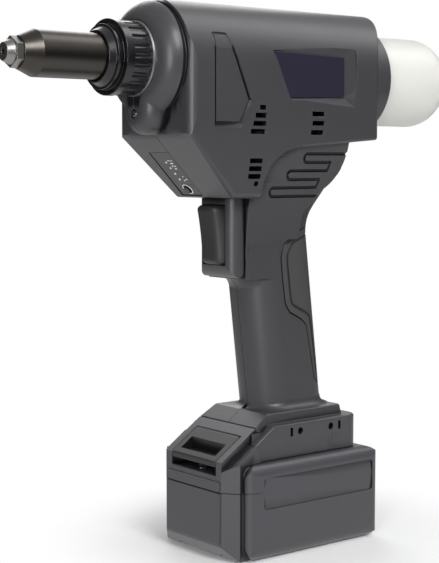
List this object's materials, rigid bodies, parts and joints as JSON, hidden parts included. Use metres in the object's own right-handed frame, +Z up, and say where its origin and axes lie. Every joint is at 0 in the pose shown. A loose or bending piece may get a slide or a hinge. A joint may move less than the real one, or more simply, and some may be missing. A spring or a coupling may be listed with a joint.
{
  "type": "battery rivet tool",
  "caption": "Cordless blind rivet tool: pistol housing with ball screw drive, jaw nose, lock ring, trigger, clear mandrel cup at the rear and a slide-on battery with latch.",
  "frame": {"origin": "centre of the battery's flat base", "axes": "+X along the nose axis to the front, +Y to the tool's left, +Z up from the base"},
  "size_m": [0.3003, 0.075, 0.304],
  "materials": {
    "shell": "fine spark texture, satin",
    "pad": "soft overmould, dull",
    "badge": "smooth dark indigo, bare",
    "panel": "smooth black",
    "lamp": "white light guide",
    "board": "green laminate",
    "lens": "clear moulded lens",
    "dark_steel": "blackened steel, polished",
    "ring": "gloss black anodised",
    "bright_steel": "plated",
    "frame_alloy": "die cast",
    "steel": "ground",
    "bronze": "sintered bronze or plated contact",
    "winding": "copper winding",
    "black_plastic": "moulded",
    "trigger_plastic": "fine satin",
    "lead_skin": "lead insulation",
    "seal": "dull",
    "milky": "milky polyethylene",
    "pack_shell": "fine spark texture, satin",
    "cell_can": "shrink sleeve"
  },
  "bodies": {
    "tool": {"left_housing": "shell", "right_housing": "shell", "grip_pad": "pad", "badge_plate": "badge", "control_panel": "panel", "indicator_lamps": "lamp", "control_board": "board", "work_light": "lens", "nosepiece": "dark_steel", "nose_sleeve": "dark_steel", "lock_washer": "bright_steel", "drive_frame": "frame_alloy", "rear_bush": "bronze", "nut_bearing": "steel", "thrust_bearing": "steel", "counter_bushes": "bronze", "motor_can": "steel", "stator": "winding", "motor_bearings": "steel", "trigger_bezel": "trigger_plastic", "trigger_switch": "black_plastic", "trigger_spring": "steel", "power_leads": "lead_skin", "housing_screws": "bright_steel", "collector_socket": "black_plastic", "collector_seal": "seal", "tool_terminals": "black_plastic", "contact_blades": "bronze"},
    "lock_ring": {"lock_ring": "ring"},
    "mode_button": {"mode_button": "panel"},
    "spindle": {"pull_spindle": "steel", "jaw_case": "steel", "jaw_spring": "steel"},
    "jaw_1": {"jaw_1": "steel"},
    "jaw_2": {"jaw_2": "steel"},
    "jaw_3": {"jaw_3": "steel"},
    "jaw_pusher": {"jaw_pusher": "steel"},
    "nut": {"ball_nut": "steel", "nut_gear": "steel"},
    "counter": {"counter_shaft": "steel", "counter_gear": "steel"},
    "rotor": {"rotor": "steel", "motor_pinion": "steel", "cooling_fan": "black_plastic"},
    "trigger": {"trigger": "trigger_plastic"},
    "collector": {"mandrel_collector": "milky"},
    "battery": {"battery_lower_case": "pack_shell", "battery_upper_case": "pack_shell", "latch_spring": "steel", "battery_cells": "cell_can", "cell_holder": "black_plastic", "battery_board": "board", "battery_contacts": "bronze", "battery_screws": "bright_steel"},
    "latch": {"battery_latch": "trigger_plastic"}
  },
  "joints": [
    {"name": "trigger_pull", "type": "slide", "parent": "tool", "child": "trigger", "axis": [-1, 0, 0], "range_m": [0, 0.006], "stiffness_N_per_m": 900, "springref_m": -0.004, "deforming": ["trigger_spring"]},
    {"name": "mode_press", "type": "slide", "parent": "tool", "child": "mode_button", "axis": [-0.7071, 0, 0.7071], "range_m": [0, 0.0008], "stiffness_N_per_m": 1500, "springref_m": -0.0006},
    {"name": "latch_press", "type": "slide", "parent": "battery", "child": "latch", "axis": [0, 0, -1], "range_m": [0, 0.004], "stiffness_N_per_m": 900, "springref_m": -0.003, "deforming": ["latch_spring"]},
    {"name": "battery_slide", "type": "slide", "parent": "tool", "child": "battery", "axis": [1, 0, 0], "range_m": [0, 0.092]},
    {"name": "collector_pull", "type": "slide", "parent": "tool", "child": "collector", "axis": [-1, 0, 0], "range_m": [0, 0.06]},
    {"name": "ring_turn", "type": "hinge", "parent": "tool", "child": "lock_ring", "pos_m": [0.1, 0, 0.272], "axis": [1, 0, 0], "continuous": true},
    {"name": "nut_turn", "type": "hinge", "parent": "tool", "child": "nut", "pos_m": [0, 0, 0.272], "axis": [1, 0, 0], "range_deg": [0, 2150]},
    {"name": "spindle_pull", "type": "slide", "parent": "tool", "child": "spindle", "axis": [-1, 0, 0], "range_m": [0, 0.024]},
    {"name": "counter_turn", "type": "hinge", "parent": "tool", "child": "counter", "pos_m": [0, 0, 0.244], "axis": [1, 0, 0], "range_deg": [-6460, 0]},
    {"name": "rotor_turn", "type": "hinge", "parent": "tool", "child": "rotor", "pos_m": [0, 0, 0.224], "axis": [1, 0, 0], "range_deg": [0, 25820]},
    {"name": "jaw_1_grip", "type": "slide", "parent": "spindle", "child": "jaw_1", "axis": [0.9923, 0, 0.124], "range_m": [0, 0.002]},
    {"name": "jaw_2_grip", "type": "slide", "parent": "spindle", "child": "jaw_2", "axis": [0.9923, -0.1074, -0.062], "range_m": [0, 0.002]},
    {"name": "jaw_3_grip", "type": "slide", "parent": "spindle", "child": "jaw_3", "axis": [0.9923, 0.1074, -0.062], "range_m": [0, 0.002]},
    {"name": "pusher_slide", "type": "slide", "parent": "spindle", "child": "jaw_pusher", "axis": [1, 0, 0], "range_m": [0, 0.002], "deforming": ["jaw_spring"]}
  ],
  "couplings": [
    {"joint": "spindle_pull", "follows": "nut_turn", "m_per_rad": 0.00063662},
    {"joint": "counter_turn", "follows": "nut_turn", "ratio": -3},
    {"joint": "rotor_turn", "follows": "nut_turn", "ratio": 12},
    {"joint": "jaw_2_grip", "follows": "jaw_1_grip", "ratio": 1},
    {"joint": "jaw_3_grip", "follows": "jaw_1_grip", "ratio": 1},
    {"joint": "pusher_slide", "follows": "jaw_1_grip", "ratio": 0.99228}
  ]
}
